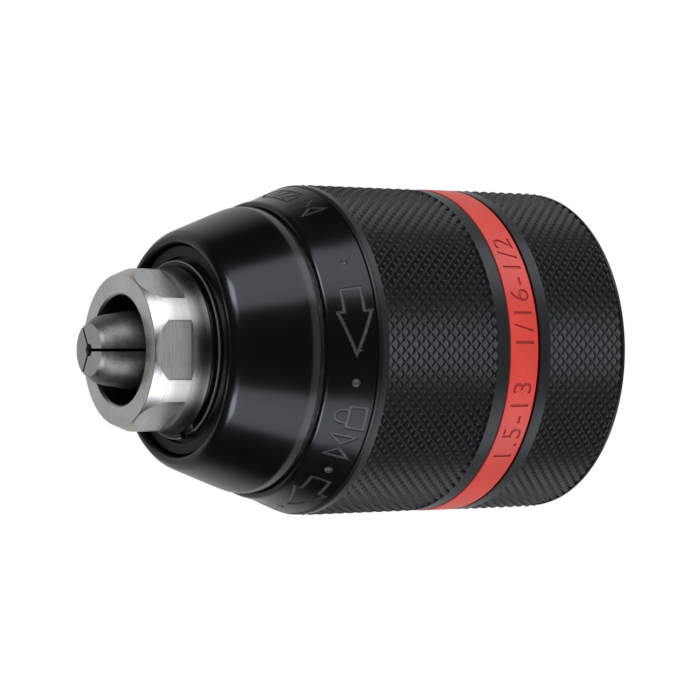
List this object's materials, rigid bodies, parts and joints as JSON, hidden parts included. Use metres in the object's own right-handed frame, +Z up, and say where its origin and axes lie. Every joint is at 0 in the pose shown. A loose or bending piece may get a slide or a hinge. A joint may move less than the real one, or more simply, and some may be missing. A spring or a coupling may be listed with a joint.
{
  "type": "keyless drill chuck",
  "caption": "Keyless drill chuck: turning the knurled front sleeve closes leaning round jaws on a bit, while a rear sleeve and hex nose hold it still.",
  "frame": {"origin": "centre of the body's rear face, which seats against the drill spindle's shoulder", "axes": "+Y along the chuck axis out of the spindle socket, -Y towards the jaws, +Z up, +X across to one wrench flat"},
  "size_m": [0.043, 0.0681, 0.043],
  "materials": {
    "body_steel": "turned and brushed",
    "ground_steel": "ground",
    "hardened_steel": "hardened",
    "spring_steel": "blackened",
    "blackened_disc": "blackened",
    "gloss_black": "polished black",
    "satin_black": "satin black, diamond knurl",
    "red_plastic": "satin red, engraved sizes",
    "cage_brass": "stamped"
  },
  "bodies": {
    "body": {"chuck_body": "body_steel", "locking_screw": "hardened_steel", "circlip": "spring_steel", "front_disc": "blackened_disc", "thrust_race": "ground_steel", "rear_bush": "body_steel", "rear_sleeve": "satin_black"},
    "front_sleeve": {"nut_half_upper": "hardened_steel", "nut_half_lower": "hardened_steel", "nut_band": "body_steel", "sleeve_carrier": "body_steel", "front_cap": "gloss_black", "marker_collar": "gloss_black", "grip_sleeve": "satin_black", "size_ring": "red_plastic"},
    "jaw_a": {"jaw_1": "ground_steel"},
    "jaw_b": {"jaw_2": "ground_steel"},
    "jaw_c": {"jaw_3": "ground_steel"},
    "cage": {"ball_cage": "cage_brass", "bearing_ball_01": "ground_steel", "bearing_ball_02": "ground_steel", "bearing_ball_03": "ground_steel", "bearing_ball_04": "ground_steel", "bearing_ball_05": "ground_steel", "bearing_ball_06": "ground_steel", "bearing_ball_07": "ground_steel", "bearing_ball_08": "ground_steel", "bearing_ball_09": "ground_steel", "bearing_ball_10": "ground_steel", "bearing_ball_11": "ground_steel", "bearing_ball_12": "ground_steel", "bearing_ball_13": "ground_steel", "bearing_ball_14": "ground_steel", "bearing_ball_15": "ground_steel", "bearing_ball_16": "ground_steel"}
  },
  "joints": [
    {"name": "sleeve_turn", "type": "hinge", "parent": "body", "child": "front_sleeve", "pos_m": [0, -0.03, 0], "axis": [0, -1, 0], "range_deg": [0, 2880]},
    {"name": "jaw_a_slide", "type": "slide", "parent": "body", "child": "jaw_a", "axis": [0.1545, 0.951, 0.2677], "range_m": [0, 0.02056]},
    {"name": "jaw_b_slide", "type": "slide", "parent": "body", "child": "jaw_b", "axis": [0.1545, 0.951, -0.2677], "range_m": [0, 0.02056]},
    {"name": "jaw_c_slide", "type": "slide", "parent": "body", "child": "jaw_c", "axis": [-0.3091, 0.951, 0], "range_m": [0, 0.02056]},
    {"name": "cage_turn", "type": "hinge", "parent": "body", "child": "cage", "pos_m": [0, -0.042, 0], "axis": [0, -1, 0], "range_deg": [0, 1440.1]}
  ],
  "couplings": [
    {"joint": "jaw_a_slide", "follows": "sleeve_turn", "m_per_rad": 0.00040875},
    {"joint": "jaw_b_slide", "follows": "sleeve_turn", "m_per_rad": 0.00040875},
    {"joint": "jaw_c_slide", "follows": "sleeve_turn", "m_per_rad": 0.00040875},
    {"joint": "cage_turn", "follows": "sleeve_turn", "ratio": 0.5}
  ]
}
